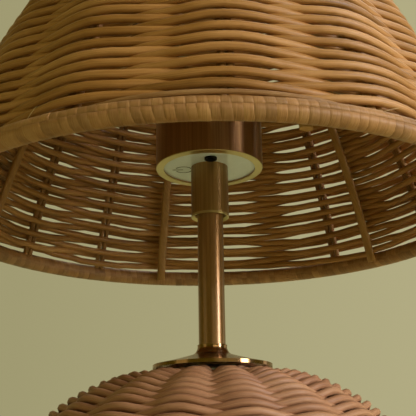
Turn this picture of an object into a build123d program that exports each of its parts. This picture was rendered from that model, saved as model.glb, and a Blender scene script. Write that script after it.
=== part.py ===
from build123d import *
import os
from math import cos, radians, sin, sqrt

# Cordless table lamp: a woven rattan cone shade over a metal head, on a slim stem
# that rises from a woven rattan dome foot. Millimetres, +Z up, origin on the table
# under the stem's axis. The charging socket is on the -Y side of the head.

os.makedirs("parts", exist_ok=True)

# ---- driving dimensions ----
stem_radius = 6.0
head_radius = 25.5
head_underside = 166.0
head_height = 48.0
collar_radius = 8.8
collar_length = 25.0

rim_radius = 124.5
rim_height = 140.4
top_radius = 53.0
top_height = 290.4

dome_radius = 92.0
dome_rise = 63.3
dome_spring_line = 12.5
cap_radius = 26.5

# ---- cane and rattan ----
stake_rod = 3.0
weave_thickness = 6.4
lobe_height = 4.8
wrap_radius = 4.2
hoop_radius = 3.0
wire_radius = 2.0
rib_width = 4.6
rib_thickness = 2.4
shade_stake_angles = [-87, -62, -36, -8, 21, 53, 90, 123, 146, 172, 199, 225, 248]
rib_angles = [40, 105, 165, 225, 286, 343]
base_stake_count = 17

# ---- sheet metal, plates and hardware ----
tube_wall = 1.0
housing_wall = 1.2
lip_width = 3.7
lip_thickness = 1.0
plate_gap = 0.1
slide_gap = 0.05
fine_chamfer = 0.5
broad_chamfer = 1.0
board_thickness = 1.6
rod_radius = 3.0
rod_hole_radius = 3.2
nut_radius = 5.77
nut_height = 5.0
socket_y = -13.1
socket_x = 0.7
socket_barrel_radius = 2.9
socket_bore_radius = 1.75
socket_bore_depth = 9.0
touch_x = -12.4
touch_y = 2.2


def circle_through(first, second, third):
    """Centre and radius of the circle through three (r, z) points."""
    (ax, ay), (bx, by), (cx, cy) = first, second, third
    scale = 2 * (ax * (by - cy) + bx * (cy - ay) + cx * (ay - by))
    a2 = ax * ax + ay * ay
    b2 = bx * bx + by * by
    c2 = cx * cx + cy * cy
    centre_r = (a2 * (by - cy) + b2 * (cy - ay) + c2 * (ay - by)) / scale
    centre_z = (a2 * (cx - bx) + b2 * (ax - cx) + c2 * (bx - ax)) / scale
    return centre_r, centre_z, sqrt((ax - centre_r) ** 2 + (ay - centre_z) ** 2)


# The shade's wall follows one arc in section, through the middle of its thickness.
foot_inset = 1.5
belly_radius = 89.5
belly_rise = 88.0
shade_foot = (rim_radius - foot_inset, rim_height)
shade_belly = (belly_radius, rim_height + belly_rise)
shade_crown = (top_radius, top_height)
arc_r, arc_z, arc_radius = circle_through(shade_foot, shade_belly, shade_crown)
weave_bottom = rim_height + wrap_radius + plate_gap
weave_top = top_height - wrap_radius - 2 * plate_gap
weave_middle = (weave_bottom + weave_top) / 2
half_wall = weave_thickness / 2


# The dome's wall follows an ellipse, inside its lobes by their height.
dome_middle_radius = dome_radius - lobe_height
dome_middle_rise = dome_rise - lobe_height
dome_centre = (0, dome_spring_line)


def shade_point(height, offset):
    """A point (r, z) of the shade's section, offset outwards from its middle arc."""
    radius = arc_radius + offset
    return (arc_r + sqrt(radius ** 2 - (height - arc_z) ** 2), height)


def dome_point(angle, offset):
    """A point (r, z) of the dome's section, offset outwards from its middle ellipse."""
    return (
        (dome_middle_radius + offset) * cos(radians(angle)),
        dome_spring_line + (dome_middle_rise + offset) * sin(radians(angle)),
    )


def section_plane(angle, sideways=0.0):
    """The upright plane through the axis at an angle, moved sideways along its normal."""
    outwards = Vector(cos(radians(angle)), sin(radians(angle)), 0)
    normal = Vector(sin(radians(angle)), -cos(radians(angle)), 0)
    return Plane(origin=normal * sideways, x_dir=outwards, z_dir=normal)


# ---- foot: felt, board, weight ----
pad_thickness = 2.0
pad_radius = 78.0
with BuildPart() as felt_pad:
    Cylinder(pad_radius, pad_thickness, align=(Align.CENTER, Align.CENTER, Align.MIN))
felt_pad.part.label = "felt_pad"
export_step(felt_pad.part, "parts/felt_pad.step")

hoop_height = 5.2
base_hoop_circle = dome_radius - wrap_radius
foot_board_radius = base_hoop_circle - wrap_radius - 2 * plate_gap
foot_board_thickness = 9.0
foot_board_top = pad_thickness + foot_board_thickness
counterbore_radius = 10.0
counterbore_depth = 7.0
with BuildPart() as base_board:
    with BuildSketch(Plane.XY.offset(pad_thickness)):
        Circle(foot_board_radius)
        Circle(rod_hole_radius, mode=Mode.SUBTRACT)
    extrude(amount=foot_board_thickness)
    with BuildSketch(Plane.XY.offset(pad_thickness)):
        Circle(counterbore_radius)
    extrude(amount=counterbore_depth, mode=Mode.SUBTRACT)
base_board.part.label = "base_board"
export_step(base_board.part, "parts/base_board.step")

weight_radius = 62.0
weight_thickness = 9.0
weight_top = foot_board_top + weight_thickness
with BuildPart() as base_weight:
    with BuildSketch(Plane.XY.offset(foot_board_top)):
        Circle(weight_radius)
        Circle(rod_hole_radius, mode=Mode.SUBTRACT)
    extrude(amount=weight_thickness)
    chamfer(base_weight.edges().filter_by(GeomType.CIRCLE).group_by(SortBy.RADIUS)[-1], broad_chamfer)
base_weight.part.label = "base_weight"
export_step(base_weight.part, "parts/base_weight.step")

# ---- foot: wrapped hoop, stakes and weave ----
with BuildPart() as base_hoop:
    with BuildSketch(Plane.XZ):
        with Locations((base_hoop_circle, hoop_height)):
            Circle(hoop_radius)
    revolve(axis=Axis.Z)
base_hoop.part.label = "base_hoop"
export_step(base_hoop.part, "parts/base_hoop.step")

with BuildPart() as base_hoop_wrap:
    with BuildSketch(Plane.XZ):
        with Locations((base_hoop_circle, hoop_height)):
            Circle(wrap_radius)
            Circle(hoop_radius, mode=Mode.SUBTRACT)
    revolve(axis=Axis.Z)
base_hoop_wrap.part.label = "base_hoop_wrap"
export_step(base_hoop_wrap.part, "parts/base_hoop_wrap.step")

# The dome's section starts just above the hoop and stops short of its top ring.
dome_start = -2.4
dome_end = 75.5
dome_sweep = dome_end - dome_start
with BuildPart() as base_weave:
    with BuildSketch(Plane.XZ):
        with BuildLine():
            for face in (half_wall, -half_wall):
                EllipticalCenterArc(
                    dome_centre, dome_middle_radius + face, dome_middle_rise + face,
                    dome_start, arc_size=dome_sweep,
                )
            for angle in (dome_start, dome_end):
                Line(dome_point(angle, half_wall), dome_point(angle, -half_wall))
        make_face()
    revolve(axis=Axis.Z)
base_weave.part.label = "base_weave"
export_step(base_weave.part, "parts/base_weave.step")

with BuildPart() as base_stakes:
    for index in range(base_stake_count):
        plane = section_plane(-90 + (index + 0.5) * 360 / base_stake_count)
        with BuildLine(plane) as stake_path:
            EllipticalCenterArc(
                dome_centre, dome_middle_radius, dome_middle_rise,
                dome_start, arc_size=dome_sweep,
            )
        with BuildSketch(stake_path.line ^ 0):
            Circle(stake_rod / 2)
        sweep(path=stake_path.line)
base_stakes.part.label = "base_stakes"
export_step(base_stakes.part, "parts/base_stakes.step")

ring_circle = 17.0
ring_height = 70.3
with BuildPart() as dome_top_ring:
    with BuildSketch(Plane.XZ):
        with Locations((ring_circle, ring_height)):
            Circle(wire_radius)
    revolve(axis=Axis.Z)
dome_top_ring.part.label = "dome_top_ring"
export_step(dome_top_ring.part, "parts/dome_top_ring.step")

bush_radius = ring_circle - wire_radius - plate_gap
bush_bottom = 62.0
bush_top = 73.0
with BuildPart() as dome_bush:
    with BuildSketch(Plane.XY.offset(bush_bottom)):
        Circle(bush_radius)
        Circle(stem_radius + slide_gap, mode=Mode.SUBTRACT)
    extrude(amount=bush_top - bush_bottom)
dome_bush.part.label = "dome_bush"
export_step(dome_bush.part, "parts/dome_bush.step")

# ---- stem: spun cap, tube and the rod that draws everything together ----
cap_edge = 72.2
cap_band_top = 73.7
cap_neck_top = 82.5
cap_neck_wall = 0.6
cap_neck_bottom = 75.0
cap_lip = 1.2
shoulder_radius = 9.6
shoulder_top = 78.0
shoulder_bottom = shoulder_top - 1.1
neck_curve = (7.3, 79.6)
brim_curve_top = (18.0, 75.7)
brim_curve_bottom = (17.6, 74.8)
with BuildPart() as cap_flange:
    with BuildSketch(Plane.XZ):
        with BuildLine():
            bore = stem_radius + slide_gap
            neck_edge = (bore + cap_neck_wall, cap_neck_top)
            brim_edge = (cap_radius, cap_band_top)
            brim_inside = (cap_radius - cap_lip, cap_band_top - cap_lip / 2)
            band_foot = (cap_radius - cap_lip, cap_edge)
            Line((bore, cap_neck_bottom), (bore, cap_neck_top))
            Line((bore, cap_neck_top), neck_edge)
            ThreePointArc(neck_edge, neck_curve, (shoulder_radius, shoulder_top))
            ThreePointArc((shoulder_radius, shoulder_top), brim_curve_top, brim_edge)
            Line(brim_edge, (cap_radius, cap_edge))
            Line((cap_radius, cap_edge), band_foot)
            Line(band_foot, brim_inside)
            ThreePointArc(brim_inside, brim_curve_bottom, (shoulder_radius, shoulder_bottom))
            Line((shoulder_radius, shoulder_bottom), (bore, cap_neck_bottom))
        make_face()
    revolve(axis=Axis.Z)
cap_flange.part.label = "cap_flange"
export_step(cap_flange.part, "parts/cap_flange.step")

disc_underside = head_underside + lip_thickness
stem_top = disc_underside - plate_gap
with BuildPart() as stem_tube:
    with BuildSketch(Plane.XY.offset(weight_top)):
        Circle(stem_radius)
        Circle(stem_radius - tube_wall, mode=Mode.SUBTRACT)
    extrude(amount=stem_top - weight_top)
stem_tube.part.label = "stem_tube"
export_step(stem_tube.part, "parts/stem_tube.step")

disc_thickness = 2.0
clamp_plate_bottom = disc_underside + disc_thickness
clamp_plate_thickness = 1.5
clamp_plate_top = clamp_plate_bottom + clamp_plate_thickness
washer_thickness = 1.2
base_washer_radius = 9.0
head_washer_radius = 7.0
thread_left = 0.8
head_nut_top = clamp_plate_top + washer_thickness + nut_height
counterbore_roof = pad_thickness + counterbore_depth
base_nut_top = counterbore_roof - washer_thickness
rod_bottom = base_nut_top - nut_height - fine_chamfer
rod_top = head_nut_top + thread_left
with BuildPart() as tie_rod:
    with BuildSketch(Plane.XY.offset(rod_bottom)):
        Circle(rod_radius)
    extrude(amount=rod_top - rod_bottom)
    chamfer(tie_rod.edges().filter_by(GeomType.CIRCLE), fine_chamfer)
tie_rod.part.label = "tie_rod"
export_step(tie_rod.part, "parts/tie_rod.step")

with BuildPart() as base_washer:
    with BuildSketch(Plane.XY.offset(base_nut_top)):
        Circle(base_washer_radius)
        Circle(rod_hole_radius, mode=Mode.SUBTRACT)
    extrude(amount=washer_thickness)
base_washer.part.label = "base_washer"
export_step(base_washer.part, "parts/base_washer.step")

with BuildPart() as base_nut:
    with BuildSketch(Plane.XY.offset(base_nut_top - nut_height)):
        RegularPolygon(nut_radius, 6)
        Circle(rod_radius, mode=Mode.SUBTRACT)
    extrude(amount=nut_height)
base_nut.part.label = "base_nut"
export_step(base_nut.part, "parts/base_nut.step")

# ---- collar under the head ----
collar_inner = 7.4
collar_bottom = disc_underside - collar_length
with BuildPart() as collar:
    with BuildSketch(Plane.XY.offset(collar_bottom)):
        Circle(collar_radius)
        Circle(collar_inner, mode=Mode.SUBTRACT)
    extrude(amount=collar_length)
    chamfer(collar.edges().group_by(Axis.Z)[0].sort_by(SortBy.RADIUS)[0], broad_chamfer)
collar.part.label = "collar"
export_step(collar.part, "parts/collar.step")

ring_recess = 2.2
ring_length = 5.0
with BuildPart() as collar_ring:
    with BuildSketch(Plane.XY.offset(collar_bottom + ring_recess)):
        Circle(collar_inner - slide_gap)
        Circle(stem_radius + slide_gap, mode=Mode.SUBTRACT)
    extrude(amount=ring_length)
collar_ring.part.label = "collar_ring"
export_step(collar_ring.part, "parts/collar_ring.step")

# ---- head: drum, white disc and clamp plate ----
head_top = head_underside + head_height
housing_inner = head_radius - housing_wall
lip_overlap = 0.2
rim_fillet = 0.4
with BuildPart() as head_housing:
    with BuildSketch(Plane.XY.offset(head_underside)):
        Circle(head_radius)
        Circle(housing_inner, mode=Mode.SUBTRACT)
    extrude(amount=head_height)
    with BuildSketch(Plane.XY.offset(head_underside)):
        Circle(housing_inner + lip_overlap)
        Circle(head_radius - lip_width, mode=Mode.SUBTRACT)
    extrude(amount=lip_thickness)
    outer_rims = head_housing.edges().filter_by(GeomType.CIRCLE).group_by(SortBy.RADIUS)[-1]
    fillet(outer_rims, rim_fillet)
head_housing.part.label = "head_housing"
export_step(head_housing.part, "parts/head_housing.step")

plate_radius = housing_inner - plate_gap
with BuildPart() as cover_disc:
    with BuildSketch(Plane.XY.offset(disc_underside)):
        Circle(plate_radius)
        Circle(rod_hole_radius, mode=Mode.SUBTRACT)
        with Locations((socket_x, socket_y)):
            Circle(socket_barrel_radius + slide_gap, mode=Mode.SUBTRACT)
    extrude(amount=disc_thickness)
cover_disc.part.label = "cover_disc"
export_step(cover_disc.part, "parts/cover_disc.step")

touch_spring_radius = 4.0
touch_spring_wall = 1.0
touch_clearance = 0.8
with BuildPart() as clamp_plate:
    with BuildSketch(Plane.XY.offset(clamp_plate_bottom)):
        Circle(plate_radius)
        Circle(rod_hole_radius, mode=Mode.SUBTRACT)
        with Locations((socket_x, socket_y)):
            Circle(socket_barrel_radius + slide_gap, mode=Mode.SUBTRACT)
        with Locations((touch_x, touch_y)):
            Circle(touch_spring_radius + touch_clearance, mode=Mode.SUBTRACT)
    extrude(amount=clamp_plate_thickness)
clamp_plate.part.label = "clamp_plate"
export_step(clamp_plate.part, "parts/clamp_plate.step")

with BuildPart() as head_washer:
    with BuildSketch(Plane.XY.offset(clamp_plate_top)):
        Circle(head_washer_radius)
        Circle(rod_hole_radius, mode=Mode.SUBTRACT)
    extrude(amount=washer_thickness)
head_washer.part.label = "head_washer"
export_step(head_washer.part, "parts/head_washer.step")

with BuildPart() as head_nut:
    with BuildSketch(Plane.XY.offset(clamp_plate_top + washer_thickness)):
        RegularPolygon(nut_radius, 6)
        Circle(rod_radius, mode=Mode.SUBTRACT)
    extrude(amount=nut_height)
head_nut.part.label = "head_nut"
export_step(head_nut.part, "parts/head_nut.step")

# ---- head: socket, touch spring and control board ----
socket_proud = 0.9
socket_mouth = disc_underside - socket_proud
socket_flare = 0.8
socket_body_side = 8.0
control_board_bottom = 179.0
with BuildPart() as dc_socket:
    with BuildSketch(Plane.XY.offset(socket_mouth)):
        with Locations((socket_x, socket_y)):
            Circle(socket_barrel_radius)
    extrude(amount=clamp_plate_top - socket_mouth)
    with BuildSketch(Plane.XY.offset(clamp_plate_top)):
        with Locations((socket_x, socket_y)):
            Rectangle(socket_body_side, socket_body_side)
    extrude(amount=control_board_bottom - clamp_plate_top)
    with BuildSketch(Plane.XY.offset(socket_mouth)):
        with Locations((socket_x, socket_y)):
            Circle(socket_bore_radius)
    extrude(amount=socket_bore_depth + socket_flare, mode=Mode.SUBTRACT)
    mouth_edge = dc_socket.edges().group_by(Axis.Z)[0].sort_by(SortBy.RADIUS)[0]
    chamfer(mouth_edge, socket_flare)
dc_socket.part.label = "dc_socket"
export_step(dc_socket.part, "parts/dc_socket.step")

with BuildPart() as touch_spring:
    with BuildSketch(Plane.XY.offset(clamp_plate_bottom)):
        with Locations((touch_x, touch_y)):
            Circle(touch_spring_radius)
            Circle(touch_spring_radius - touch_spring_wall, mode=Mode.SUBTRACT)
    extrude(amount=control_board_bottom - clamp_plate_bottom)
touch_spring.part.label = "touch_spring"
export_step(touch_spring.part, "parts/touch_spring.step")

control_board_clearance = 0.7
with BuildPart() as control_board:
    with BuildSketch(Plane.XY.offset(control_board_bottom)):
        Circle(plate_radius - control_board_clearance)
    extrude(amount=board_thickness)
control_board.part.label = "control_board"
export_step(control_board.part, "parts/control_board.step")

# ---- head: battery ----
tray_bottom = control_board_bottom + board_thickness + 2 * plate_gap
tray_wall = 1.4
tray_clearance = 0.5
tray_wall_x = 13.5
tray_wall_length = 28.0
tray_top = 205.0
cell_bottom = tray_bottom + tray_wall + plate_gap
cell_width = 25.0
cell_length = 35.0
cell_thickness = 9.8
cell_corner = 2.0
cell_pitch = 10.0
boss_x = 18.0
boss_radius = 3.2
boss_hole_depth = 10.0
screw_radius = 1.5
screw_hole_radius = 1.6
with BuildPart() as battery_tray:
    with BuildSketch(Plane.XY.offset(tray_bottom)):
        Circle(plate_radius - tray_clearance)
    extrude(amount=tray_wall)
    with BuildSketch(Plane.XY.offset(tray_bottom)):
        with Locations((-boss_x, 0), (boss_x, 0)):
            Circle(boss_radius)
        with Locations((-tray_wall_x, 0), (tray_wall_x, 0)):
            Rectangle(tray_wall, tray_wall_length)
    extrude(amount=tray_top - tray_bottom)
    with BuildSketch(Plane.XY.offset(tray_top)):
        with Locations((-boss_x, 0), (boss_x, 0)):
            Circle(screw_radius + slide_gap)
    extrude(amount=-boss_hole_depth, mode=Mode.SUBTRACT)
battery_tray.part.label = "battery_tray"
export_step(battery_tray.part, "parts/battery_tray.step")

with BuildPart() as battery_cells:
    for level in range(2):
        with BuildSketch(Plane.XY.offset(cell_bottom + level * cell_pitch)):
            RectangleRounded(cell_width, cell_length, cell_corner)
        extrude(amount=cell_thickness)
battery_cells.part.label = "battery_cells"
export_step(battery_cells.part, "parts/battery_cells.step")

# ---- head: light source and diffuser ----
spreader_thickness = 2.0
led_board_bottom = tray_top + spreader_thickness
led_board_top = led_board_bottom + board_thickness
led_board_radius = 21.0
with BuildPart() as heat_spreader:
    with BuildSketch(Plane.XY.offset(tray_top)):
        Circle(plate_radius)
        with Locations((-boss_x, 0), (boss_x, 0)):
            Circle(screw_hole_radius, mode=Mode.SUBTRACT)
    extrude(amount=spreader_thickness)
heat_spreader.part.label = "heat_spreader"
export_step(heat_spreader.part, "parts/heat_spreader.step")

with BuildPart() as led_board:
    with BuildSketch(Plane.XY.offset(led_board_bottom)):
        Circle(led_board_radius)
        with Locations((-boss_x, 0), (boss_x, 0)):
            Circle(screw_hole_radius, mode=Mode.SUBTRACT)
    extrude(amount=board_thickness)
led_board.part.label = "led_board"
export_step(led_board.part, "parts/led_board.step")

led_length = 3.5
led_width = 2.8
led_height = 0.8
led_circle = 10.0
with BuildPart() as led_chips:
    with BuildSketch(Plane.XY.offset(led_board_top)):
        with PolarLocations(led_circle, 8):
            Rectangle(led_length, led_width)
        Rectangle(led_length, led_width)
    extrude(amount=led_height)
led_chips.part.label = "led_chips"
export_step(led_chips.part, "parts/led_chips.step")

screw_head_radius = 2.7
screw_head_height = 1.8
screw_length = 11.0
with BuildPart() as led_screws:
    with BuildSketch(Plane.XY.offset(led_board_top)):
        with Locations((-boss_x, 0), (boss_x, 0)):
            Circle(screw_head_radius)
    extrude(amount=screw_head_height)
    with BuildSketch(Plane.XY.offset(led_board_top)):
        with Locations((-boss_x, 0), (boss_x, 0)):
            Circle(screw_radius)
    extrude(amount=-screw_length)
led_screws.part.label = "led_screws"
export_step(led_screws.part, "parts/led_screws.step")

diffuser_radius = 21.4
diffuser_wall = 1.6
diffuser_flange = 2.0
diffuser_rise = 22.0
diffuser_shoulder = 14.0
diffuser_bottom = head_top - diffuser_flange - plate_gap
with BuildPart() as diffuser:
    with BuildSketch(Plane.XY.offset(diffuser_bottom)):
        Circle(diffuser_radius)
    extrude(amount=diffuser_rise + diffuser_flange)
    fillet(diffuser.edges().group_by(Axis.Z)[-1], diffuser_shoulder)
    offset(amount=-diffuser_wall, openings=diffuser.faces().sort_by(Axis.Z)[0])
    with BuildSketch(Plane.XY.offset(diffuser_bottom)):
        Circle(plate_radius)
        Circle(diffuser_radius - diffuser_wall / 2, mode=Mode.SUBTRACT)
    extrude(amount=diffuser_flange)
diffuser.part.label = "diffuser"
export_step(diffuser.part, "parts/diffuser.step")

# ---- turning seat of the shade ----
seat_inner = 22.4
slip_washer_bottom = head_top + plate_gap
slip_washer_thickness = 1.0
slip_washer_top = slip_washer_bottom + slip_washer_thickness
with BuildPart() as slip_washer:
    with BuildSketch(Plane.XY.offset(slip_washer_bottom)):
        Circle(head_radius)
        Circle(seat_inner, mode=Mode.SUBTRACT)
    extrude(amount=slip_washer_thickness)
slip_washer.part.label = "slip_washer"
export_step(slip_washer.part, "parts/slip_washer.step")

# The carrier is welded: a seat ring, three bent wire arms and a wire ring at the top.
seat_thickness = 3.0
seat_outer = 27.0
seat_bottom = slip_washer_top + slide_gap
arm_angles = [75, 195, 315]
arm_wire_radius = 1.4
arm_bend = 6.0
arm_root = seat_inner + 1.5
arm_knee = 34.0
arm_shoulder = 43.0
arm_height = seat_bottom + seat_thickness / 2
with BuildPart() as shade_carrier:
    with BuildSketch(Plane.XY.offset(seat_bottom)):
        Circle(seat_outer)
        Circle(seat_inner, mode=Mode.SUBTRACT)
    extrude(amount=seat_thickness)
    with BuildSketch(Plane.XZ):
        with Locations((top_radius, top_height)):
            Circle(wire_radius)
    revolve(axis=Axis.Z)
    for angle in arm_angles:
        with BuildLine(section_plane(angle)) as arm_path:
            FilletPolyline(
                (arm_root, arm_height),
                (arm_knee, arm_height),
                (arm_shoulder, top_height),
                (top_radius, top_height),
                radius=arm_bend,
            )
        with BuildSketch(arm_path.line ^ 0):
            Circle(arm_wire_radius)
        sweep(path=arm_path.line)
shade_carrier.part.label = "shade_carrier"
export_step(shade_carrier.part, "parts/shade_carrier.step")

with BuildPart() as shade_top_wrap:
    with BuildSketch(Plane.XZ):
        with Locations((top_radius, top_height)):
            Circle(wrap_radius)
            Circle(wire_radius, mode=Mode.SUBTRACT)
    revolve(axis=Axis.Z)
shade_top_wrap.part.label = "shade_top_wrap"
export_step(shade_top_wrap.part, "parts/shade_top_wrap.step")

# ---- shade: weave, stakes, ribs and wrapped rim ----
with BuildPart() as shade_weave:
    with BuildSketch(Plane.XZ):
        with BuildLine():
            ThreePointArc(
                shade_point(weave_bottom, half_wall),
                shade_point(weave_middle, half_wall),
                shade_point(weave_top, half_wall),
            )
            Line(shade_point(weave_top, half_wall), shade_point(weave_top, -half_wall))
            ThreePointArc(
                shade_point(weave_top, -half_wall),
                shade_point(weave_middle, -half_wall),
                shade_point(weave_bottom, -half_wall),
            )
            Line(shade_point(weave_bottom, -half_wall), shade_point(weave_bottom, half_wall))
        make_face()
    revolve(axis=Axis.Z)
shade_weave.part.label = "shade_weave"
export_step(shade_weave.part, "parts/shade_weave.step")

with BuildPart() as shade_stakes:
    for angle in shade_stake_angles:
        for side in (-1, 1):
            with BuildLine(section_plane(angle, side * (stake_rod / 2 + plate_gap))) as rod_path:
                ThreePointArc(
                    shade_point(weave_bottom, 0),
                    shade_point(weave_middle, 0),
                    shade_point(weave_top, 0),
                )
            with BuildSketch(rod_path.line ^ 0):
                Circle(stake_rod / 2)
            sweep(path=rod_path.line)
shade_stakes.part.label = "shade_stakes"
export_step(shade_stakes.part, "parts/shade_stakes.step")

rib_offset = -(half_wall + plate_gap + rib_thickness / 2)
rib_end_gap = 3.0
rib_foot_rise = 1.0
rib_edge = 0.8
with BuildPart() as shade_ribs:
    for angle in rib_angles:
        with BuildLine(section_plane(angle)) as rib_path:
            ThreePointArc(
                shade_point(rim_height + rib_foot_rise, rib_offset),
                shade_point(weave_middle, rib_offset),
                shade_point(weave_top - rib_end_gap, rib_offset),
            )
        start = Plane(rib_path.line ^ 0)
        across = Vector(-sin(radians(angle)), cos(radians(angle)), 0)
        with BuildSketch(Plane(origin=start.origin, x_dir=across, z_dir=start.z_dir)):
            RectangleRounded(rib_width, rib_thickness, rib_edge)
        sweep(path=rib_path.line)
shade_ribs.part.label = "shade_ribs"
export_step(shade_ribs.part, "parts/shade_ribs.step")

with BuildPart() as shade_hoop:
    with BuildSketch(Plane.XZ):
        with Locations((rim_radius, rim_height)):
            Circle(hoop_radius)
    revolve(axis=Axis.Z)
shade_hoop.part.label = "shade_hoop"
export_step(shade_hoop.part, "parts/shade_hoop.step")

with BuildPart() as shade_rim_wrap:
    with BuildSketch(Plane.XZ):
        with Locations((rim_radius, rim_height)):
            Circle(wrap_radius)
            Circle(hoop_radius, mode=Mode.SUBTRACT)
    revolve(axis=Axis.Z)
shade_rim_wrap.part.label = "shade_rim_wrap"
export_step(shade_rim_wrap.part, "parts/shade_rim_wrap.step")
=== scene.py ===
import bmesh
import bpy
import math
import random
from mathutils import Matrix, Vector, noise


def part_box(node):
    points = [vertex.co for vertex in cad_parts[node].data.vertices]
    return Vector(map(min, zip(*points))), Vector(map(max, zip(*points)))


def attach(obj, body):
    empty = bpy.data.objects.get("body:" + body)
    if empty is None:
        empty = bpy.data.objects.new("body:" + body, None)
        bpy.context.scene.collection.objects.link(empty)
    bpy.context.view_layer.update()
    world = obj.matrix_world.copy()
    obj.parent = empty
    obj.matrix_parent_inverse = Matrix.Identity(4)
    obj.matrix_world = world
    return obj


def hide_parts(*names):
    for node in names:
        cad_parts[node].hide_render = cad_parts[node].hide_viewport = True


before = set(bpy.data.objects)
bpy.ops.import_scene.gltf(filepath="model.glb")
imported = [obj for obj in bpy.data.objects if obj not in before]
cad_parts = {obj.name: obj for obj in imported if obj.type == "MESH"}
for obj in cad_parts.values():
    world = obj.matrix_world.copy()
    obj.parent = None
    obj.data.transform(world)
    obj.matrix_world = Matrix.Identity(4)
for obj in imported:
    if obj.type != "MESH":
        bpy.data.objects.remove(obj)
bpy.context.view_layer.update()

# ---------------------------------------------------------------- camera
# The lamp is seen from just above table height, close in front, looking up under
# the shade, with the head in the middle of the view.
head_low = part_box("head_housing")[0]
camera_distance = 0.354
camera_below_head = 0.132
camera_tilt = 0.3085
camera_turn = -0.0027
camera_roll = -0.0155
focal_length = 68.3
sensor_width = 36.0
nearest_seen = 0.01

ahead = Vector((
    math.sin(camera_turn) * math.cos(camera_tilt),
    math.cos(camera_turn) * math.cos(camera_tilt),
    math.sin(camera_tilt),
))
right = ahead.cross(Vector((0, 0, 1))).normalized()
up = right.cross(ahead)
turned_right = right * math.cos(camera_roll) + up * math.sin(camera_roll)
turned_up = up * math.cos(camera_roll) - right * math.sin(camera_roll)
camera = bpy.data.objects.new("camera", bpy.data.cameras.new("camera"))
camera.data.lens = focal_length
camera.data.sensor_width = sensor_width
camera.data.clip_start = nearest_seen
camera.rotation_mode = "QUATERNION"
camera.rotation_quaternion = Matrix((turned_right, turned_up, -ahead)).transposed().to_quaternion()
camera.location = (0, -camera_distance, head_low.z - camera_below_head)
bpy.context.scene.collection.objects.link(camera)
bpy.context.scene.camera = camera

# ---------------------------------------------------------------- room
# A pale floor under the lamp, an olive wall colour all round that is painted darker on
# the left and lighter on the right as painted shade and light, one tall soft window on the
# right and weak fill from the left and above. Only the camera sees the wall: the lamp is
# lit by a dim room in front and a brighter one behind.
scene = bpy.context.scene
scene.view_settings.view_transform = "Standard"

floor_reach = 4.0
floor_color = (0.57, 0.57, 0.30, 1)
floor_roughness = 0.8
floor_bm = bmesh.new()
bmesh.ops.create_grid(floor_bm, x_segments=1, y_segments=1, size=floor_reach)
floor_mesh = bpy.data.meshes.new("floor")
floor_bm.to_mesh(floor_mesh)
floor_bm.free()
floor = bpy.data.objects.new("floor", floor_mesh)
scene.collection.objects.link(floor)
pale = bpy.data.materials.new("pale_floor")
pale.use_nodes = True
floor_skin = pale.node_tree.nodes["Principled BSDF"]
floor_skin.inputs["Base Color"].default_value = floor_color
floor_skin.inputs["Roughness"].default_value = floor_roughness
floor_mesh.materials.append(pale)

wall_shaded_left = (0.350, 0.322, 0.167, 1)
wall_lit_right = (0.440, 0.405, 0.224, 1)
room_front = (0.112, 0.101, 0.006, 1)
room_behind = (0.30, 0.265, 0.13, 1)
wall_half_view = 0.24
dim_until = 0.1
bright_from = 0.8
world = bpy.data.worlds.new("room")
scene.world = world
world.use_nodes = True
world_nodes = world.node_tree.nodes
world_links = world.node_tree.links
seen = world_nodes["Background"]
heading = world_nodes.new("ShaderNodeTexCoord")
sides = world_nodes.new("ShaderNodeSeparateXYZ")
world_links.new(heading.outputs["Generated"], sides.inputs["Vector"])
across = world_nodes.new("ShaderNodeMapRange")
across.inputs["From Min"].default_value = -wall_half_view
across.inputs["From Max"].default_value = wall_half_view
world_links.new(sides.outputs["X"], across.inputs["Value"])
# The wall is painted darker on the left and lighter on the right: painted shade and light.
wall = world_nodes.new("ShaderNodeMix")
wall.data_type = "RGBA"
wall.inputs["A"].default_value = wall_shaded_left
wall.inputs["B"].default_value = wall_lit_right
world_links.new(across.outputs["Result"], wall.inputs["Factor"])
world_links.new(wall.outputs["Result"], seen.inputs["Color"])
unseen = world_nodes.new("ShaderNodeBackground")
depth = world_nodes.new("ShaderNodeMapRange")
depth.inputs["From Min"].default_value = dim_until
depth.inputs["From Max"].default_value = bright_from
world_links.new(sides.outputs["Y"], depth.inputs["Value"])
room = world_nodes.new("ShaderNodeMix")
room.data_type = "RGBA"
room.inputs["A"].default_value = room_front
room.inputs["B"].default_value = room_behind
world_links.new(depth.outputs["Result"], room.inputs["Factor"])
world_links.new(room.outputs["Result"], unseen.inputs["Color"])
rays = world_nodes.new("ShaderNodeLightPath")
choose = world_nodes.new("ShaderNodeMixShader")
world_links.new(rays.outputs["Is Camera Ray"], choose.inputs[0])
world_links.new(unseen.outputs[0], choose.inputs[1])
world_links.new(seen.outputs[0], choose.inputs[2])
world_links.new(choose.outputs[0], world_nodes["World Output"].inputs["Surface"])

aim_height = 0.16


def softbox(name, azimuth, height, distance, size, power, color):
    """A soft rectangular light that faces the head from an azimuth and a height."""
    data = bpy.data.lights.new(name, "AREA")
    data.shape = "RECTANGLE"
    data.size, data.size_y = size
    data.energy = power
    data.color = color
    light = bpy.data.objects.new(name, data)
    turn = math.radians(azimuth)
    light.location = (distance * math.cos(turn), distance * math.sin(turn), height)
    aim = Vector((0, 0, aim_height)) - light.location
    light.rotation_mode = "QUATERNION"
    light.rotation_quaternion = aim.to_track_quat("-Z", "Y")
    scene.collection.objects.link(light)


softbox("window_right", -27, 0.50, 1.6, (0.42, 1.4), 29.5, (1.0, 0.94, 0.92))
softbox("fill_left", -150, 0.35, 1.8, (0.8, 1.2), 1.2, (1.0, 0.90, 0.55))
softbox("fill_front", -62, 0.9, 1.8, (1.4, 0.8), 6.5, (1.0, 0.92, 0.64))
softbox("window_behind", 28, 0.62, 1.5, (0.35, 0.9), 0.8, (1.0, 0.94, 0.84))
softbox("sky_above", 60, 1.7, 0.9, (1.2, 1.2), 12, (1.0, 0.94, 0.84))

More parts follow.
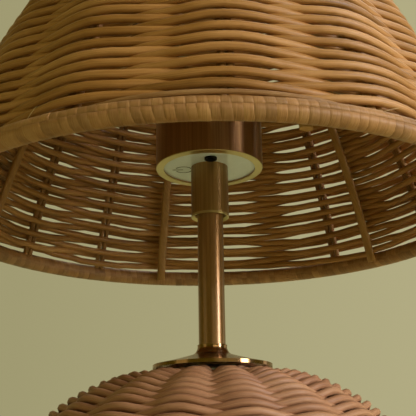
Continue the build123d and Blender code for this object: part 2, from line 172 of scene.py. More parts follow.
# ---------------------------------------------------------------- shade weave
# One round rattan weaver winds up the cone in plain randing: it passes in front of
# one pair of stakes and behind the next, and swaps sides on every round.
weaver_diameter = 0.0035
stake_diameter = 0.0028
row_pitch = 0.00305
stake_angles = [-87, -62, -36, -8, 21, 53, 90, 123, 146, 172, 199, 225, 248]
steps_between_stakes = 10
slack_at_back = 0.16
girth_at_back = 0.05
bend_sharpness = 1.35
row_drift = 0.55
row_wobble = 0.10
sway_unevenness = 0.10
weaver_slip = 0.00092
slip_begins = 0.14
slip_ease = 0.38
slip_at_sides = 0.62
slip_gain_at_back = 0.3
slip_unevenness = 1.5
closed_azimuth = 1.85
closed_spread = 0.45
closed_share = 0.55

rim_low, rim_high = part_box("shade_rim_wrap")
top_low, top_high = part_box("shade_top_wrap")
wrap_radius = (rim_high.z - rim_low.z) / 2
rim_circle = rim_high.x - wrap_radius
rim_height = (rim_high.z + rim_low.z) / 2
top_circle = top_high.x - wrap_radius
top_height = (top_high.z + top_low.z) / 2
belly_radius = 0.0895
belly_rise = 0.088
wall_inset = 0.0015
gap_over_rim = 0.0003
gap_under_top = 0.0006


def circle_through(first, second, third):
    """Centre and radius of the circle through three (r, z) points."""
    (ax, ay), (bx, by), (cx, cy) = first, second, third
    scale = 2 * (ax * (by - cy) + bx * (cy - ay) + cx * (ay - by))
    a2, b2, c2 = ax * ax + ay * ay, bx * bx + by * by, cx * cx + cy * cy
    r = (a2 * (by - cy) + b2 * (cy - ay) + c2 * (ay - by)) / scale
    z = (a2 * (cx - bx) + b2 * (ax - cx) + c2 * (bx - ax)) / scale
    return r, z, math.hypot(ax - r, ay - z)


arc_r, arc_z, arc_radius = circle_through((rim_circle - wall_inset, rim_height),
                                          (belly_radius, rim_height + belly_rise),
                                          (top_circle, top_height))
weave_low = rim_height + wrap_radius + gap_over_rim
weave_high = top_height - wrap_radius - gap_under_top
angle_low = math.asin((weave_low - arc_z) / arc_radius)
angle_high = math.asin((weave_high - arc_z) / arc_radius)


def shade_wall(angle, offset):
    """A point (r, z) of the shade's wall at an angle of its arc, offset outwards."""
    return (arc_r + (arc_radius + offset) * math.cos(angle),
            arc_z + (arc_radius + offset) * math.sin(angle))


def stake_phase(turn, angles):
    """How many stakes lie before an azimuth in degrees, a whole number at each stake."""
    start = angles[0]
    turn = (turn - start) % 360
    marks = [(a - start) % 360 for a in angles] + [360]
    for k in range(len(angles)):
        if turn < marks[k + 1]:
            return k + (turn - marks[k]) / (marks[k + 1] - marks[k])
    return len(angles)


def plain_weave(rows, angles, wall, low, high, sway, slip, slack, seed):
    """Points of one weaver that climbs a wall of revolution in plain randing.

    The rows are beaten down tighter in front than at the back, by the slack. Beside
    each stake the outer rows slip up and the inner ones down, which opens gaps: widest
    at the back, uneven from row to row, and nearly shut round the closed azimuth.
    """
    patches_round, patches_up, wobble_scale, swell_scale = 2.2, 0.16, 9.0, 2.3
    swell_shift = Vector((7, 3, 1))
    slip_per_round, slip_per_radian = 1.7, 1.5
    count = len(angles) * steps_between_stakes
    points = []
    for step in range(int(rows * count) + 1):
        turns = step / count
        azimuth = angles[0] + 360 * (turns % 1)
        side = stake_phase(azimuth, angles) + len(angles) * int(turns)
        bend = math.cos(math.pi * side)
        bend = math.copysign(abs(bend) ** bend_sharpness, bend)
        azimuth = math.radians(azimuth)
        spot = Vector((math.cos(azimuth) * patches_round, math.sin(azimuth) * patches_round,
                       turns * patches_up + seed))
        drift = row_drift * noise.noise(spot) + row_wobble * noise.noise(spot * wobble_scale)
        swell = 1 + sway_unevenness * noise.noise(spot * swell_scale + swell_shift)
        climb = (turns + drift) / rows
        back = math.sin(azimuth)
        climb += slack * back * climb * (1 - climb)
        along = low + (high - low) * climb
        parted = min(1, max(0, (abs(bend) - slip_begins) / slip_ease))
        parted = math.copysign(parted * parted * (3 - 2 * parted), bend)
        parted *= slip_at_sides + min(slip_gain_at_back * back, back)
        patch = Vector((turns * slip_per_round, slip_per_radian * azimuth, seed))
        parted *= 1 + slip_unevenness * noise.noise(patch)
        parted *= 1 - closed_share * math.exp(-((azimuth - closed_azimuth) / closed_spread) ** 2)
        r, z = wall(along + slip * parted, sway * bend * swell)
        points.append((r * math.cos(azimuth), r * math.sin(azimuth), z))
    return points


def cane(name, lines, radius, sides=8, upright=False, girth=0.0):
    """Round rods along lists of points, as one mesh whose UVs are metres along and round."""
    curve = bpy.data.curves.new(name, "CURVE")
    curve.dimensions = "3D"
    curve.bevel_depth = radius
    curve.bevel_resolution = (sides - 4) // 2
    curve.use_fill_caps = True
    curve.twist_mode = "MINIMUM" if upright else "Z_UP"
    for line in lines:
        spline = curve.splines.new("POLY")
        spline.points.add(len(line) - 1)
        for point, spot in zip(spline.points, line):
            point.co = (*spot, 1)
            point.radius = 1 + girth * spot[1] / math.hypot(spot[0], spot[1])
    holder = bpy.data.objects.new(name + "_line", curve)
    scene.collection.objects.link(holder)
    bpy.context.view_layer.update()
    graph = bpy.context.evaluated_depsgraph_get()
    mesh = bpy.data.meshes.new_from_object(holder.evaluated_get(graph))
    bpy.data.objects.remove(holder)
    mesh.name = name
    length = max(sum(math.dist(a, b) for a, b in zip(line, line[1:])) for line in lines)
    for loop in mesh.uv_layers[0].data:
        loop.uv = (loop.uv[0] * length, loop.uv[1] * 2 * math.pi * radius)
    for face in mesh.polygons:
        face.use_smooth = len(face.vertices) == 4
    return bpy.data.objects.new(name, mesh)


def place(piece, body, slot, *nodes):
    """Puts a finished piece on its body and hides the CAD nodes it stands for; the slot is not
    used.
    """
    scene.collection.objects.link(piece)
    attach(piece, body)
    if nodes:
        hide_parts(*nodes)


def paint(piece, material):
    """Gives the whole piece one material."""
    piece.data.materials.clear()
    piece.data.materials.append(material)


def rattan(name, dark, mid, light, shine, tone_scale=9.0):
    """Peeled rattan: long fibres, tone that drifts along each rod, satin skin."""
    material = bpy.data.materials.new(name)
    material.use_nodes = True
    nodes, links = material.node_tree.nodes, material.node_tree.links
    skin = nodes["Principled BSDF"]
    skin.inputs["Specular IOR Level"].default_value = 0.45
    uv = nodes.new("ShaderNodeUVMap")
    uv.uv_map = "UVMap"

    def stretched(across, along, detail):
        scale = nodes.new("ShaderNodeMapping")
        scale.inputs["Scale"].default_value = (along, across, 1)
        links.new(uv.outputs["UV"], scale.inputs["Vector"])
        grain = nodes.new("ShaderNodeTexNoise")
        grain.inputs["Scale"].default_value = 1.0
        grain.inputs["Detail"].default_value = detail
        links.new(scale.outputs["Vector"], grain.inputs["Vector"])
        return grain

    drift = stretched(across=0.0, along=tone_scale, detail=3.0)
    fibre = stretched(across=2600.0, along=45.0, detail=4.0)
    blot = stretched(across=260.0, along=70.0, detail=3.0)
    drift_share, fibre_share, blot_share = 0.55, 0.28, 0.22
    tone = nodes.new("ShaderNodeMath")
    tone.operation = "MULTIPLY_ADD"
    tone.inputs[1].default_value = drift_share
    links.new(drift.outputs["Fac"], tone.inputs[0])
    part = nodes.new("ShaderNodeMath")
    part.operation = "MULTIPLY_ADD"
    part.inputs[1].default_value = fibre_share
    links.new(fibre.outputs["Fac"], part.inputs[0])
    spot = nodes.new("ShaderNodeMath")
    spot.operation = "MULTIPLY"
    spot.inputs[1].default_value = blot_share
    links.new(blot.outputs["Fac"], spot.inputs[0])
    links.new(spot.outputs[0], part.inputs[2])
    links.new(part.outputs[0], tone.inputs[2])
    ramp = nodes.new("ShaderNodeValToRGB")
    ramp.color_ramp.elements[0].position = 0.36
    ramp.color_ramp.elements[0].color = (*dark, 1)
    ramp.color_ramp.elements[1].position = 0.66
    ramp.color_ramp.elements[1].color = (*light, 1)
    middle = ramp.color_ramp.elements.new(0.50)
    middle.color = (*mid, 1)
    links.new(tone.outputs[0], ramp.inputs["Fac"])
    links.new(ramp.outputs["Color"], skin.inputs["Base Color"])
    gloss = nodes.new("ShaderNodeMapRange")
    gloss.inputs["To Min"].default_value = shine - 0.08
    gloss.inputs["To Max"].default_value = shine + 0.14
    links.new(blot.outputs["Fac"], gloss.inputs["Value"])
    links.new(gloss.outputs["Result"], skin.inputs["Roughness"])
    relief = nodes.new("ShaderNodeBump")
    relief.inputs["Strength"].default_value = 0.45
    relief.inputs["Distance"].default_value = 0.00025
    links.new(fibre.outputs["Fac"], relief.inputs["Height"])
    links.new(relief.outputs["Normal"], skin.inputs["Normal"])
    return material


honey_rattan = rattan("honey_rattan", (0.15, 0.061, 0.008), (0.35, 0.162, 0.038),
                      (0.54, 0.286, 0.104), 0.46)
weave_rows = arc_radius * (angle_high - angle_low) / row_pitch
weaver_sway = (weaver_diameter + stake_diameter) / 2
weave_line = plain_weave(weave_rows, stake_angles, shade_wall, angle_low, angle_high,
                         weaver_sway, weaver_slip / arc_radius, slack_at_back, 0.0)
shade_weave = cane("shade_weaver", [weave_line], weaver_diameter / 2, girth=girth_at_back)
paint(shade_weave, honey_rattan)
place(shade_weave, "shade", "rattan_shade", "shade_weave")

# ---------------------------------------------------------------- shade stakes
# Thirteen pairs of straight rods stand in the rim and follow the cone up to the top
# ring. They are the warp that the weaver runs round, and show between its rows.


def ribbed(name, angles, make_section, low, high, offset, steps, shift=0.0):
    """Sections swept up the shade's arc by a spin about its centre, one at each azimuth.

    The UVs are metres up the arc and round the shade, with a step from rod to rod.
    """
    tone_step = 3.1
    bm = bmesh.new()
    for azimuth in angles:
        start = shade_wall(low, offset)
        before = len(bm.verts)
        section = make_section(bm)
        bmesh.ops.rotate(bm, verts=section, matrix=Matrix.Rotation(-low, 3, "Y"))
        bmesh.ops.translate(bm, verts=section, vec=(start[0], shift, start[1]))
        edges = list(dict.fromkeys(e for v in section for e in v.link_edges))
        spun = bmesh.ops.spin(bm, geom=section + edges, axis=(0, -1, 0), cent=(arc_r, 0, arc_z),
                              angle=high - low, steps=steps)
        last = [v for v in spun["geom_last"] if isinstance(v, bmesh.types.BMVert)]
        bmesh.ops.contextual_create(bm, geom=section)
        bmesh.ops.contextual_create(bm, geom=last)
        bm.verts.ensure_lookup_table()
        bmesh.ops.rotate(bm, verts=bm.verts[before:],
                         matrix=Matrix.Rotation(math.radians(azimuth), 3, "Z"))
    bmesh.ops.recalc_face_normals(bm, faces=bm.faces)
    layer = bm.loops.layers.uv.new("UVMap")
    for face in bm.faces:
        for loop in face.loops:
            spot = loop.vert.co
            flat = math.hypot(spot.x, spot.y)
            climb = math.atan2(spot.z - arc_z, flat - arc_r) * arc_radius
            turn = math.atan2(spot.y, spot.x) * flat
            loop[layer].uv = (climb + round(turn, 2) * tone_step, turn)
        face.smooth = len(face.verts) == 4
    mesh = bpy.data.meshes.new(name)
    bm.to_mesh(mesh)
    bm.free()
    return bpy.data.objects.new(name, mesh)


def round_section(bm):
    """A circle of the stake's size, square to the wall."""
    return bmesh.ops.create_circle(bm, segments=8, radius=stake_diameter / 2)["verts"]


stake_low = math.asin((rim_height - arc_z) / arc_radius)
stake_high = math.asin((top_height - arc_z) / arc_radius)
pair_gap = 0.0002
stake_steps = 24
paired_rods = [ribbed("rods", stake_angles, round_section, stake_low, stake_high, 0.0, stake_steps,
                      side * (stake_diameter / 2 + pair_gap / 2)) for side in (-1, 1)]
pair_bm = bmesh.new()
for rods in paired_rods:
    pair_bm.from_mesh(rods.data)
    bpy.data.objects.remove(rods)
stake_mesh = bpy.data.meshes.new("shade_stake_rods")
pair_bm.to_mesh(stake_mesh)
pair_bm.free()
shade_stakes = bpy.data.objects.new("shade_stake_rods", stake_mesh)
# The stakes' rattan is a darker copy of the weaver's: painted shade for rods that sit behind the
# rows.
shadow_rattan = rattan("stake_rattan_painted_shade", (0.13, 0.050, 0.010), (0.28, 0.130, 0.036),
                       (0.42, 0.23, 0.08), 0.5)
paint(shade_stakes, shadow_rattan)
place(shade_stakes, "shade", "rattan_shade", "shade_stakes")

# ---------------------------------------------------------------- shade ribs
# Six flat canes are laid inside the weave and tied to the rim and the top ring. They
# keep the cone stiff, and are a shade redder than the weaver.
rib_angles = [40, 105, 165, 225, 286, 343]
rib_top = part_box("shade_ribs")[1].z
rib_width = 0.0048
rib_thickness = 0.0025
rib_into_rim = 0.001
rib_steps = 28
face_squareness = 0.6
edge_squareness = 0.7
rib_inset = -(weaver_sway + weaver_diameter / 2 + rib_thickness / 2)


def flat_section(bm):
    """A flat oval of the rib's size, square to the wall."""
    section = bmesh.ops.create_circle(bm, segments=12, radius=rib_width / 2)["verts"]
    for vert in section:
        thick, wide = vert.co.x / (rib_width / 2), vert.co.y / (rib_width / 2)
        vert.co.x = math.copysign(abs(thick) ** face_squareness, thick) * rib_thickness / 2
        vert.co.y = math.copysign(abs(wide) ** edge_squareness, wide) * rib_width / 2
    return section


rib_low = math.asin((rim_height - rib_into_rim - arc_z) / arc_radius)
rib_high = math.asin((rib_top - arc_z) / arc_radius)
shade_ribs = ribbed("shade_rib_canes", rib_angles, flat_section, rib_low, rib_high, rib_inset,
                    rib_steps)
red_cane = rattan("rib_cane", (0.16, 0.067, 0.012), (0.33, 0.163, 0.038), (0.46, 0.26, 0.08), 0.42)
paint(shade_ribs, red_cane)
place(shade_ribs, "shade", "cane_wrap", "shade_ribs")

# ---------------------------------------------------------------- wrapped rims
# Hoops of thick rattan bound close with flat split cane. The binding goes round and
# round the hoop and hides it, each turn lapping a little over the last.
binding_pitch = 0.0035
binding_width = 0.0044
binding_thickness = 0.00045
binding_steps = 14
edge_fullness = 0.8
crown_fullness = 0.6
lift_play = 0.00003
lean_play = 0.03


def binding(name, circle, height, minor, seed, body, slot, material, node):
    """Flat cane wound round a hoop, one slanted turn after another."""
    random.seed(seed)
    turns = round(2 * math.pi * circle / binding_pitch)
    step = 2 * math.pi / turns
    bound = bmesh.new()
    for turn in range(turns):
        bm = bmesh.new()
        section = bmesh.ops.create_circle(bm, segments=10, radius=1.0)["verts"]
        wide = binding_width * random.uniform(0.95, 1.08)
        lift = minor - binding_thickness / 2 + random.uniform(-lift_play, lift_play)
        for vert in section:
            across = math.copysign(abs(vert.co.y) ** edge_fullness, vert.co.y) * wide / 2
            crown = math.copysign(abs(vert.co.x) ** crown_fullness, vert.co.x)
            vert.co = (lift + crown * binding_thickness / 2, across, 0)
        bmesh.ops.spin(bm, geom=bm.verts[:] + bm.edges[:], axis=(0, 1, 0), cent=(0, 0, 0),
                       dvec=(0, circle * step / binding_steps, 0),
                       angle=2 * math.pi, steps=binding_steps)
        bmesh.ops.holes_fill(bm, edges=bm.edges)
        bmesh.ops.recalc_face_normals(bm, faces=bm.faces)
        tone = bm.verts.layers.float_color.new("turn_tone")
        layer = bm.loops.layers.uv.new("UVMap")
        shade_of_turn = random.random()
        lean = Matrix.Rotation(random.uniform(-lean_play, lean_play), 3, "X")
        for face in bm.faces:
            face.smooth = True
            for loop in face.loops:
                spot = loop.vert.co
                loop.vert[tone] = (shade_of_turn, shade_of_turn, shade_of_turn, 1)
                loop[layer].uv = (math.atan2(spot.z, spot.x) * minor + turn, spot.y)
        bmesh.ops.rotate(bm, verts=bm.verts, matrix=lean)
        bmesh.ops.translate(bm, verts=bm.verts, vec=(circle, -circle * step / 2, height))
        bmesh.ops.rotate(bm, verts=bm.verts, matrix=Matrix.Rotation(turn * step, 3, "Z"))
        loose = bpy.data.meshes.new("turn")
        bm.to_mesh(loose)
        bm.free()
        bound.from_mesh(loose)
        bpy.data.meshes.remove(loose)
    mesh = bpy.data.meshes.new(name)
    bound.to_mesh(mesh)
    bound.free()
    piece = bpy.data.objects.new(name, mesh)
    paint(piece, material)
    place(piece, body, slot, node)
    return piece


def split_cane(name, dark, mid, light, shine):
    """Split cane with one tone for each turn of the binding."""
    material = rattan(name, dark, mid, light, shine, 40.0)
    nodes, links = material.node_tree.nodes, material.node_tree.links
    tone = nodes.new("ShaderNodeAttribute")
    tone.attribute_name = "turn_tone"
    skin = nodes["Principled BSDF"]
    source = skin.inputs["Base Color"].links[0].from_socket
    vary = nodes.new("ShaderNodeMapRange")
    vary.inputs["To Min"].default_value = 0.80
    vary.inputs["To Max"].default_value = 1.12
    links.new(tone.outputs["Fac"], vary.inputs["Value"])
    tint = nodes.new("ShaderNodeVectorMath")
    tint.operation = "SCALE"
    links.new(source, tint.inputs[0])
    links.new(vary.outputs["Result"], tint.inputs["Scale"])
    links.new(tint.outputs["Vector"], skin.inputs["Base Color"])
    return material


rim_cane = split_cane("rim_cane", (0.18, 0.082, 0.020), (0.33, 0.162, 0.055),
                      (0.46, 0.262, 0.108), 0.5)
binding("shade_rim_binding", rim_circle, rim_height, wrap_radius, 11,
        "shade", "cane_wrap", rim_cane, "shade_rim_wrap")
binding("shade_top_binding", top_circle, top_height, wrap_radius, 12,
        "shade", "cane_wrap", rim_cane, "shade_top_wrap")
foot_low, foot_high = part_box("base_hoop_wrap")
foot_wrap = (foot_high.z - foot_low.z) / 2
foot_circle = foot_high.x - foot_wrap
foot_height = (foot_high.z + foot_low.z) / 2
foot_cane = split_cane("foot_cane", (0.16, 0.075, 0.035), (0.32, 0.17, 0.085),
                       (0.45, 0.27, 0.15), 0.5)
binding("foot_binding", foot_circle, foot_height, foot_wrap, 13,
        "stand", "rattan_base", foot_cane, "base_hoop_wrap")

# ---------------------------------------------------------------- loose ends on the rim
# The last round of the weave ends in a thinned strand laid along the rim, and a few
# torn fibres stand off the binding near it.
tuck_ends = (-112, -66)
tuck_thickness = 0.0010
tuck_lift = 0.0009
tuck_stand_off = 0.0016
tuck_roundness = 0.4


def along_rim(first, last, height, stand_off, steps=40):
    """Points beside the rim between two azimuths, at a height over its middle."""
    line = []
    for k in range(steps + 1):
        turn = math.radians(first + (last - first) * k / steps)
        ease = math.sin(math.pi * k / steps) ** tuck_roundness
        r = rim_circle + stand_off * ease
        line.append((r * math.cos(turn), r * math.sin(turn), rim_height + height * ease))
    return line


tuck_line = along_rim(*tuck_ends, wrap_radius + tuck_lift, tuck_stand_off)
tuck_strand = cane("tuck_strand", [tuck_line], tuck_thickness)
paint(tuck_strand, rim_cane)
place(tuck_strand, "shade", "cane_wrap")

fibre_reach = ((-48, 0.010), (-45, 0.006), (-44, 0.009), (-50, 0.005), (-63, 0.004),
               (-118, 0.006))
fibre_steps = 8
fibre_sweep = 0.04
fibre_stand_off = 0.35
fibre_rise = 0.5
fibre_droop = 18
fibre_radius = 0.00012
fibre_sides = 6
fibre_lines = []
for azimuth, reach in fibre_reach:
    line = []
    for k in range(fibre_steps + 1):
        out = reach * k / fibre_steps
        turn = math.radians(azimuth) + fibre_sweep * k / fibre_steps
        r = rim_circle + wrap_radius * 0.9 + out * fibre_stand_off
        line.append((r * math.cos(turn), r * math.sin(turn),
                     rim_height + wrap_radius * 0.6 + fibre_rise * out - fibre_droop * out * out))
    fibre_lines.append(line)
rim_fibres = cane("rim_fibres", fibre_lines, fibre_radius, fibre_sides)
fibre_rattan = rattan("fibre_rattan", (0.40, 0.25, 0.12), (0.55, 0.38, 0.20),
                      (0.66, 0.50, 0.30), 0.5)
paint(rim_fibres, fibre_rattan)
place(rim_fibres, "shade", "cane_wrap")

# ---------------------------------------------------------------- dome foot
# The foot is a dome woven the same way over seventeen stakes, closer and in a pinker
# rattan. It is bound to a hoop on the table and to a wire ring under the metal cap,
# and sinks a little in a trough round the cap.
foot_stakes = 17
lobe_height = 0.0048
dome_radius = 0.092 - lobe_height
dome_rise = 0.0642 - lobe_height
spring_line = 0.0125
dome_start = math.radians(-2.0)
dome_end = math.radians(76.5)
dome_weaver = 0.0034
dome_stake = 0.0020
trough_radius = 0.027
trough_spread = 0.010
trough_depth = 0.0031
climb_steps = 400
table_steps = 200
dome_pitch = 0.00235
row_start, row_end = 0.004, 0.996
stake_below = 0.05
stake_beyond = 0.02
dome_stake_steps = 24


def dome_wall(angle, offset):
    """A point (r, z) of the dome at an angle of its ellipse, offset outwards."""
    out = Vector((math.cos(angle) / dome_radius, math.sin(angle) / dome_rise)).normalized()
    r = dome_radius * math.cos(angle) + out.x * offset
    sunk = trough_depth * math.exp(-((r - trough_radius) / trough_spread) ** 2)
    return r, spring_line + dome_rise * math.sin(angle) + out.y * offset - sunk


def even_climb(share):
    """The ellipse's angle at a share of its length, so that rows keep one pitch."""
    reach = [0.0]
    for k in range(climb_steps):
        a = dome_start + (dome_end - dome_start) * (k + 0.5) / climb_steps
        reach.append(reach[-1] + math.hypot(dome_radius * math.sin(a), dome_rise * math.cos(a)))
    share = max(0.0, min(1.0, share)) * reach[-1]
    k = next((i for i in range(1, climb_steps + 1) if reach[i] >= share), climb_steps)
    part = (share - reach[k - 1]) / (reach[k] - reach[k - 1])
    return dome_start + (dome_end - dome_start) * (k - 1 + part) / climb_steps


climb_table = [even_climb(k / table_steps) for k in range(table_steps + 1)]


def dome_row_wall(share, offset):
    """The dome's wall by share of its length, for evenly spaced rows."""
    k = max(0.0, min(1.0, share)) * table_steps
    low = min(int(k), table_steps - 1)
    angle = climb_table[low] + (climb_table[low + 1] - climb_table[low]) * (k - low)
    return dome_wall(angle, offset)


dome_length = sum(math.dist(dome_wall(climb_table[k], 0), dome_wall(climb_table[k + 1], 0))
                  for k in range(table_steps))
dome_rows = dome_length / dome_pitch
dome_stake_angles = [-90 + (k + 0.5) * 360 / foot_stakes for k in range(foot_stakes)]
dome_line = plain_weave(dome_rows, dome_stake_angles, dome_row_wall, row_start, row_end,
                        (dome_weaver + dome_stake) / 2, 0.0, 0.0, 5.0)
dome_weave = cane("dome_weaver", [dome_line], dome_weaver / 2)
pink_rattan = rattan("pink_rattan", (0.20, 0.085, 0.04), (0.36, 0.175, 0.09),
                     (0.50, 0.28, 0.155), 0.5)
paint(dome_weave, pink_rattan)
place(dome_weave, "stand", "rattan_base", "base_weave")

dome_rods = []
stake_sweep = dome_end - dome_start + stake_below + stake_beyond
for azimuth in dome_stake_angles:
    turn = math.radians(azimuth)
    line = [dome_wall(dome_start - stake_below + stake_sweep * k / dome_stake_steps, 0)
            for k in range(dome_stake_steps + 1)]
    dome_rods.append([(r * math.cos(turn), r * math.sin(turn), z) for r, z in line])
dome_stakes = cane("dome_stake_rods", dome_rods, dome_stake / 2, upright=True)
# The dome's stakes take the same darker rattan, painted shade.
paint(dome_stakes, shadow_rattan)
place(dome_stakes, "stand", "rattan_base", "base_stakes")

# ---------------------------------------------------------------- bronze metalwork
# The head, collar, stem and cap are brass, brushed along their length, dyed a dark
# bronze and lacquered. Edges that were polished after dyeing show paler brass.


def bronze(name, body_color, edge_color, edge_low, edge_high, rough, coat=0.25):
    """Brushed, dyed and lacquered brass, of the edge's colour under the first height.

    It fades to the dyed colour by the second height.
    """
    darkest, palest = 0.80, 1.14
    material = bpy.data.materials.new(name)
    material.use_nodes = True
    nodes, links = material.node_tree.nodes, material.node_tree.links
    metal = nodes["Principled BSDF"]
    metal.inputs["Metallic"].default_value = 1.0
    metal.inputs["Anisotropic"].default_value = 0.8
    metal.inputs["Anisotropic Rotation"].default_value = 0.25
    metal.inputs["Coat Weight"].default_value = coat
    metal.inputs["Coat Roughness"].default_value = 0.22
    turned = nodes.new("ShaderNodeTangent")
    turned.direction_type = "RADIAL"
    turned.axis = "Z"
    links.new(turned.outputs["Tangent"], metal.inputs["Tangent"])
    place_of = nodes.new("ShaderNodeTexCoord")
    scale = nodes.new("ShaderNodeMapping")
    scale.inputs["Scale"].default_value = (1500, 1500, 9)
    links.new(place_of.outputs["Object"], scale.inputs["Vector"])
    lines = nodes.new("ShaderNodeTexNoise")
    lines.inputs["Scale"].default_value = 1.0
    lines.inputs["Detail"].default_value = 3.0
    links.new(scale.outputs["Vector"], lines.inputs["Vector"])
    cloud = nodes.new("ShaderNodeTexNoise")
    cloud.inputs["Scale"].default_value = 60.0
    cloud.inputs["Detail"].default_value = 3.0
    links.new(place_of.outputs["Object"], cloud.inputs["Vector"])
    split = nodes.new("ShaderNodeSeparateXYZ")
    links.new(place_of.outputs["Object"], split.inputs["Vector"])
    edge = nodes.new("ShaderNodeMapRange")
    edge.inputs["From Min"].default_value = edge_low
    edge.inputs["From Max"].default_value = edge_high
    edge.inputs["To Min"].default_value = 1.0
    edge.inputs["To Max"].default_value = 0.0
    links.new(split.outputs["Z"], edge.inputs["Value"])
    dye = nodes.new("ShaderNodeValToRGB")
    dye.color_ramp.elements[0].position = 0.35
    dye.color_ramp.elements[0].color = (*[c * darkest for c in body_color], 1)
    dye.color_ramp.elements[1].position = 0.65
    dye.color_ramp.elements[1].color = (*[min(1, c * palest) for c in body_color], 1)
    links.new(lines.outputs["Fac"], dye.inputs["Fac"])
    color = nodes.new("ShaderNodeMix")
    color.data_type = "RGBA"
    color.inputs["B"].default_value = (*edge_color, 1)
    links.new(edge.outputs["Result"], color.inputs["Factor"])
    links.new(dye.outputs["Color"], color.inputs["A"])
    links.new(color.outputs["Result"], metal.inputs["Base Color"])
    gloss = nodes.new("ShaderNodeMapRange")
    gloss.inputs["To Min"].default_value = rough - 0.06
    gloss.inputs["To Max"].default_value = rough + 0.08
    links.new(cloud.outputs["Fac"], gloss.inputs["Value"])
    links.new(gloss.outputs["Result"], metal.inputs["Roughness"])
    relief = nodes.new("ShaderNodeBump")
    relief.inputs["Strength"].default_value = 0.5
    relief.inputs["Distance"].default_value = 0.00005
    links.new(lines.outputs["Fac"], relief.inputs["Height"])
    links.new(relief.outputs["Normal"], metal.inputs["Normal"])
    return material


dyed = (0.38, 0.210, 0.088)
pale_dye = (0.37, 0.225, 0.090)
polished = (0.55, 0.44, 0.20)
head_edge = (0.0002, 0.0005)
collar_edge = (0.0010, 0.0012)
no_edge = (-0.2, -0.1)
head_bronze = bronze("head_bronze", dyed, polished, *[head_low.z + z for z in head_edge],
                     0.33, 0.4)
paint(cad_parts["head_housing"], head_bronze)
collar_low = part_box("collar")[0]
collar_bronze = bronze("collar_bronze", pale_dye, polished,
                       *[collar_low.z + z for z in collar_edge], 0.40)
paint(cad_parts["collar"], collar_bronze)
stem_bronze = bronze("stem_bronze", dyed, polished, *no_edge, 0.42, 0.6)
cap_bronze = bronze("cap_bronze", dyed, polished, *no_edge, 0.16)
paint(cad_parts["stem_tube"], stem_bronze)
paint(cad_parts["cap_flange"], cap_bronze)
edge_brass = bronze("edge_brass", polished, polished, *no_edge, 0.14)
paint(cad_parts["collar_ring"], edge_brass)

# ---------------------------------------------------------------- plastics and hardware
# Everything else in the head and foot: glossy white disc with its printed touch mark,
# black socket, boards, battery, screws, ballast, board and felt.


def plain_finish(name, color, rough, metallic=0.0, speck=0.08, speck_scale=400.0,
                 relief_depth=0.0):
    """A moulded, cast or plated surface with a fine mottle in colour and gloss."""
    material = bpy.data.materials.new(name)
    material.use_nodes = True
    nodes, links = material.node_tree.nodes, material.node_tree.links
    skin = nodes["Principled BSDF"]
    skin.inputs["Metallic"].default_value = metallic
    place_of = nodes.new("ShaderNodeTexCoord")
    mottle = nodes.new("ShaderNodeTexNoise")
    mottle.inputs["Scale"].default_value = speck_scale
    mottle.inputs["Detail"].default_value = 4.0
    links.new(place_of.outputs["Object"], mottle.inputs["Vector"])
    ramp = nodes.new("ShaderNodeValToRGB")
    ramp.color_ramp.elements[0].position = 0.3
    ramp.color_ramp.elements[0].color = (*[c * (1 - speck) for c in color], 1)
    ramp.color_ramp.elements[1].position = 0.7
    ramp.color_ramp.elements[1].color = (*[min(1, c * (1 + speck)) for c in color], 1)
    links.new(mottle.outputs["Fac"], ramp.inputs["Fac"])
    links.new(ramp.outputs["Color"], skin.inputs["Base Color"])
    gloss = nodes.new("ShaderNodeMapRange")
    gloss.inputs["To Min"].default_value = max(0.02, rough - 0.04)
    gloss.inputs["To Max"].default_value = rough + 0.04
    links.new(mottle.outputs["Fac"], gloss.inputs["Value"])
    links.new(gloss.outputs["Result"], skin.inputs["Roughness"])
    if relief_depth:
        relief = nodes.new("ShaderNodeBump")
        relief.inputs["Distance"].default_value = relief_depth
        relief.inputs["Strength"].default_value = 0.6
        links.new(mottle.outputs["Fac"], relief.inputs["Height"])
        links.new(relief.outputs["Normal"], skin.inputs["Normal"])
    return material


finishes = {
    "white_gloss": plain_finish("white_gloss", (0.66, 0.74, 0.83), 0.08, speck=0.02),
    "black_gloss": plain_finish("black_gloss", (0.002, 0.002, 0.002), 0.5),
    "zinc": plain_finish("zinc", (0.56, 0.56, 0.57), 0.3, 1.0),
    "ballast": plain_finish("ballast", (0.05, 0.05, 0.05), 0.55, 0.0, 0.3, 900.0, 0.0003),
    "plywood": plain_finish("plywood", (0.50, 0.34, 0.19), 0.7, 0.0, 0.18, 90.0, 0.0002),
    "felt": plain_finish("felt", (0.07, 0.055, 0.045), 0.95, 0.0, 0.4, 1600.0, 0.0006),
    "circuit_green": plain_finish("circuit_green", (0.02, 0.13, 0.05), 0.35),
    "phosphor": plain_finish("phosphor", (0.85, 0.70, 0.18), 0.5),
    "pouch_foil": plain_finish("pouch_foil", (0.60, 0.61, 0.63), 0.35, 1.0, 0.1, 300.0, 0.0002),
    "black_moulding": plain_finish("black_moulding", (0.03, 0.03, 0.03), 0.5),
    "bare_aluminium": plain_finish("bare_aluminium", (0.70, 0.70, 0.72), 0.35, 1.0),
    "opal_plastic": plain_finish("opal_plastic", (0.86, 0.84, 0.78), 0.4, speck=0.03),
    "nylon": plain_finish("nylon", (0.78, 0.75, 0.68), 0.45),
    "bronze_powder": plain_finish("bronze_powder", (0.10, 0.055, 0.03), 0.5, 0.0, 0.15, 2500.0,
                                  0.0001),
}
socket_sheen = 0.12
socket_skin = finishes["black_gloss"].node_tree.nodes["Principled BSDF"]
socket_skin.inputs["Specular IOR Level"].default_value = socket_sheen
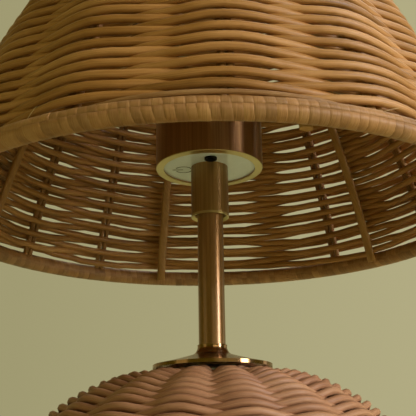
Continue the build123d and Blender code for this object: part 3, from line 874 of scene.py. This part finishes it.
node_finish = {
    "cover_disc": "white_gloss", "dc_socket": "black_gloss", "felt_pad": "felt",
    "base_board": "plywood", "dome_bush": "plywood", "base_weight": "ballast",
    "dome_top_ring": "zinc", "tie_rod": "zinc", "base_washer": "zinc", "base_nut": "zinc",
    "clamp_plate": "zinc", "head_washer": "zinc", "head_nut": "zinc", "touch_spring": "zinc",
    "led_screws": "zinc", "control_board": "circuit_green", "led_chips": "phosphor",
    "battery_cells": "pouch_foil", "battery_tray": "black_moulding",
    "heat_spreader": "bare_aluminium", "led_board": "bare_aluminium",
    "diffuser": "opal_plastic", "slip_washer": "nylon", "shade_carrier": "bronze_powder",
}
for node, finish in node_finish.items():
    paint(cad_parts[node], finishes[finish])
hoop_rattan = plain_finish("hoop_rattan", (0.25, 0.13, 0.05), 0.6, 0.0, 0.25, 300.0, 0.0002)
paint(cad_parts["shade_hoop"], hoop_rattan)
paint(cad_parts["base_hoop"], hoop_rattan)

# ---------------------------------------------------------------- touch mark
# A generic power mark is printed in grey on the white disc, over the touch spring.
disc_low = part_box("cover_disc")[0]
spring_low, spring_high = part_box("touch_spring")
mark_radius = 0.0040
mark_line = 0.0007
ink_depth = 0.00004
arc_start = math.radians(-150)
arc_sweep = math.radians(300)
arc_steps = 48
bar_share = 1.25
bar_shift = -0.7
mark_bm = bmesh.new()
corner = bmesh.ops.create_circle(mark_bm, segments=4, radius=mark_line / 2)["verts"]
for vert in corner:
    vert.co = (mark_radius + vert.co.x, 0, vert.co.y * ink_depth / mark_line)
corner_edges = list(dict.fromkeys(e for v in corner for e in v.link_edges))
bmesh.ops.rotate(mark_bm, verts=corner, matrix=Matrix.Rotation(arc_start, 3, "Z"))
bmesh.ops.spin(mark_bm, geom=corner + corner_edges, axis=(0, 0, 1), cent=(0, 0, 0),
               angle=arc_sweep, steps=arc_steps)
bmesh.ops.holes_fill(mark_bm, edges=mark_bm.edges)
bar = bmesh.ops.create_cube(mark_bm, size=1.0)["verts"]
bmesh.ops.scale(mark_bm, verts=bar, vec=(mark_radius * bar_share, mark_line, ink_depth))
bmesh.ops.translate(mark_bm, verts=bar, vec=(mark_radius * bar_shift, 0, 0))
mark_centre = (spring_low + spring_high) / 2
bmesh.ops.translate(mark_bm, verts=mark_bm.verts,
                    vec=(mark_centre.x, mark_centre.y, disc_low.z - ink_depth / 2))
bmesh.ops.recalc_face_normals(mark_bm, faces=mark_bm.faces)
mark_mesh = bpy.data.meshes.new("touch_mark")
mark_bm.to_mesh(mark_mesh)
mark_bm.free()
touch_mark = bpy.data.objects.new("touch_mark", mark_mesh)
paint(touch_mark, plain_finish("grey_ink", (0.012, 0.012, 0.010), 0.6))
place(touch_mark, "stand", "black_plastic")
